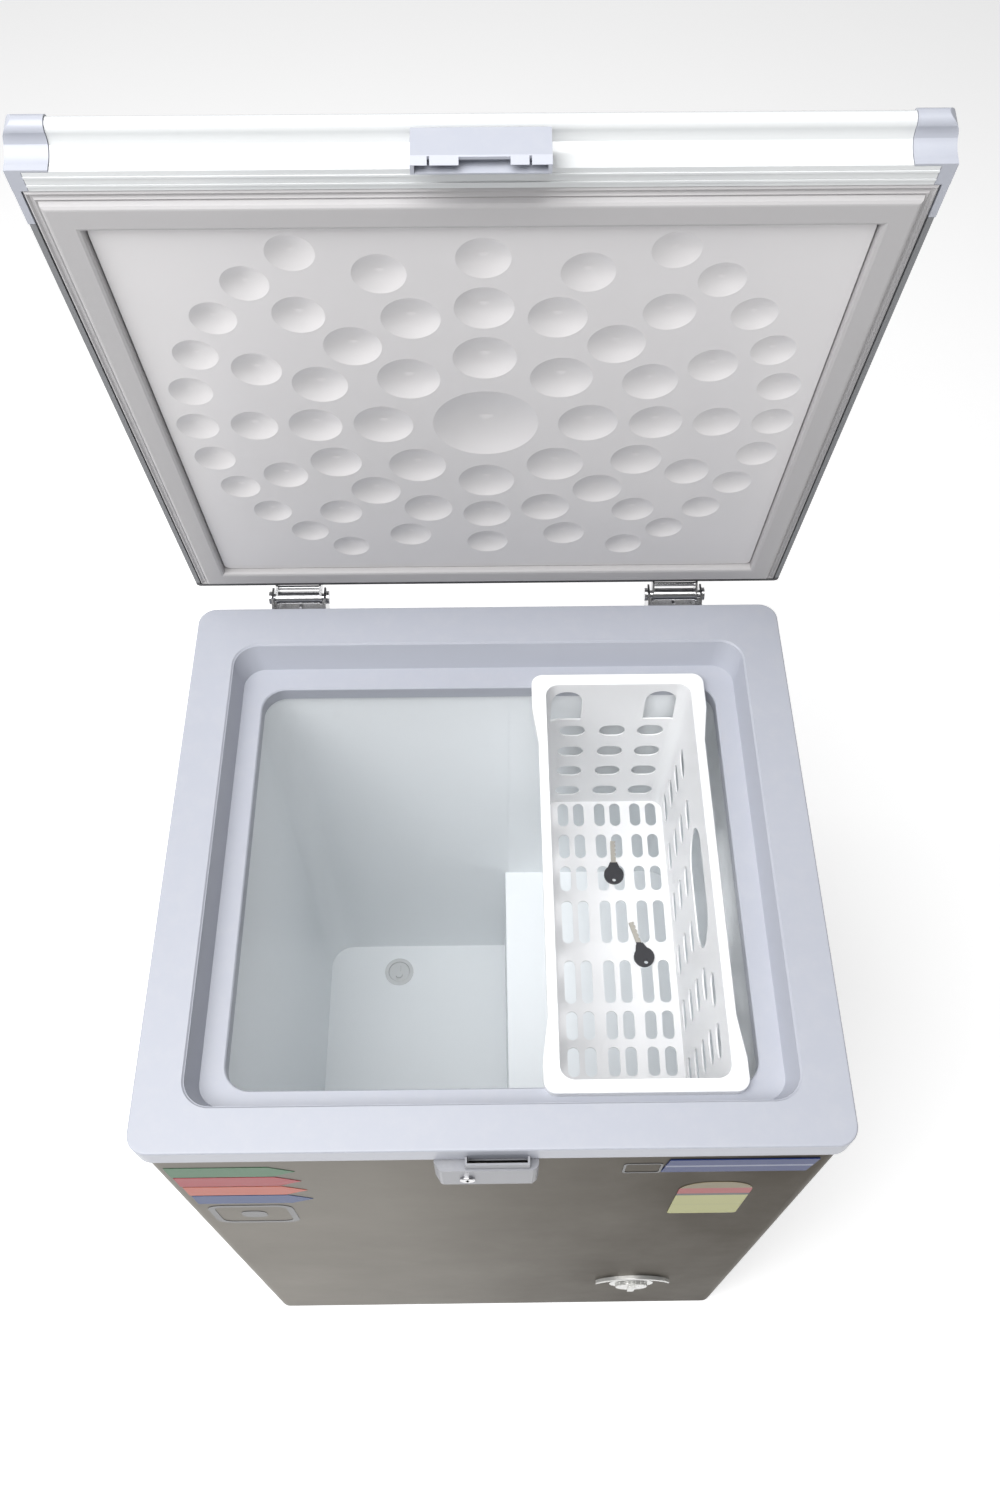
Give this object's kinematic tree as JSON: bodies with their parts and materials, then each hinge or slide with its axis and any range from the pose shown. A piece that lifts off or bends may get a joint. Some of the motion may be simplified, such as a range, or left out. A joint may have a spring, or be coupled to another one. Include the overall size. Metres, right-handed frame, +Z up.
{
  "type": "chest freezer",
  "caption": "Compact top-opening chest freezer with a stepped rim, an insulated lid on rear hinges, a sliding hanging basket, a key lock and a thermostat dial.",
  "frame": {"origin": "on the floor under the middle of the overall bounding box, lid stored open", "axes": "+Z up, +X to the right seen from the front, +Y from the front to the back"},
  "size_m": [0.571, 0.5884, 1.3461],
  "materials": {
    "black_paint": "satin",
    "black_plastic": "matte",
    "copper": "satin",
    "foam": "matte",
    "foot_rubber": "matte",
    "galvanised": "satin",
    "gasket_grey": "matte",
    "hinge_chrome": "polished",
    "key_grey": "satin",
    "label_print": "matte",
    "lavender_plastic": "satin",
    "lid_sheet": "gloss",
    "liner_plastic": "satin",
    "motor_iron": "matte",
    "screw_steel": "satin",
    "silver_trim": "satin",
    "skin_steel": "satin",
    "tank_sheet": "satin",
    "white_plastic": "gloss"
  },
  "bodies": {
    "cabinet": {"badge": "label_print", "base_pan": "galvanised", "cabinet_skin": "skin_steel", "capillary_tube": "copper", "compressor_bolts": "screw_steel", "compressor_feet": "black_paint", "compressor_grommets": "foot_rubber", "compressor_motor": "motor_iron", "compressor_shell": "black_paint", "condenser_coil": "copper", "condenser_return_pipe": "copper", "cord_gland": "black_plastic", "discharge_pipe": "copper", "drain_cup": "white_plastic", "drain_tube": "black_plastic", "evaporator_coil": "copper", "feet": "foot_rubber", "filter_drier": "copper", "foam_base": "foam", "foam_corner_posts": "foam", "foam_rim_ring": "foam", "foam_walls": "foam", "hinge_brackets": "hinge_chrome", "hinge_cabinet_screws": "screw_steel", "hinge_pins": "hinge_chrome", "lock_housing": "lavender_plastic", "rear_cover": "galvanised", "rear_cover_screws": "screw_steel", "rear_panel": "galvanised", "rim_frame": "lavender_plastic", "start_relay": "black_plastic", "sticker_energy_label": "label_print", "sticker_feature_strips": "label_print", "sticker_marks": "label_print", "suction_pipe": "copper", "tank": "tank_sheet", "thermostat_arch": "silver_trim", "thermostat_body": "black_plastic", "thermostat_dial_plate": "silver_trim", "thermostat_sensor_line": "copper"},
    "lid": {"hinge_leaves": "hinge_chrome", "hinge_lid_screws": "screw_steel", "hinge_spring_rods": "hinge_chrome", "lid_corner_cap_left": "lavender_plastic", "lid_corner_cap_right": "lavender_plastic", "lid_foam": "foam", "lid_front_trim": "white_plastic", "lid_gasket": "gasket_grey", "lid_handle": "lavender_plastic", "lid_liner": "liner_plastic", "lid_rear_trim": "black_plastic", "lid_side_trims": "gasket_grey", "lid_top_panel": "lid_sheet"},
    "basket_body": {"basket": "white_plastic", "keys": "key_grey"},
    "lock_cylinder": {"lock_barrel": "hinge_chrome", "lock_cam": "screw_steel"},
    "knob": {"thermostat_knob": "silver_trim"},
    "plug": {"drain_plug": "white_plastic"}
  },
  "joints": [
    {"name": "lid_hinge", "type": "hinge", "parent": "cabinet", "child": "lid", "pos_m": [0, 0.25684, 0.799], "axis": [-1, 0, 0], "range_deg": [-79, 0]},
    {"name": "basket_slide", "type": "slide", "parent": "cabinet", "child": "basket_body", "axis": [1, 0, 0], "range_m": [-0.262, 0.014]},
    {"name": "lock_turn", "type": "hinge", "parent": "cabinet", "child": "lock_cylinder", "pos_m": [-0.0206, -0.29016, 0.7495], "axis": [0, -1, 0], "range_deg": [0, 90]},
    {"name": "thermostat_turn", "type": "hinge", "parent": "cabinet", "child": "knob", "pos_m": [0.1615, -0.28216, 0.165], "axis": [0, -1, 0], "range_deg": [-135, 135]},
    {"name": "drain_plug_lift", "type": "slide", "parent": "cabinet", "child": "plug", "axis": [0, 0, 1], "range_m": [0, 0.04]}
  ]
}
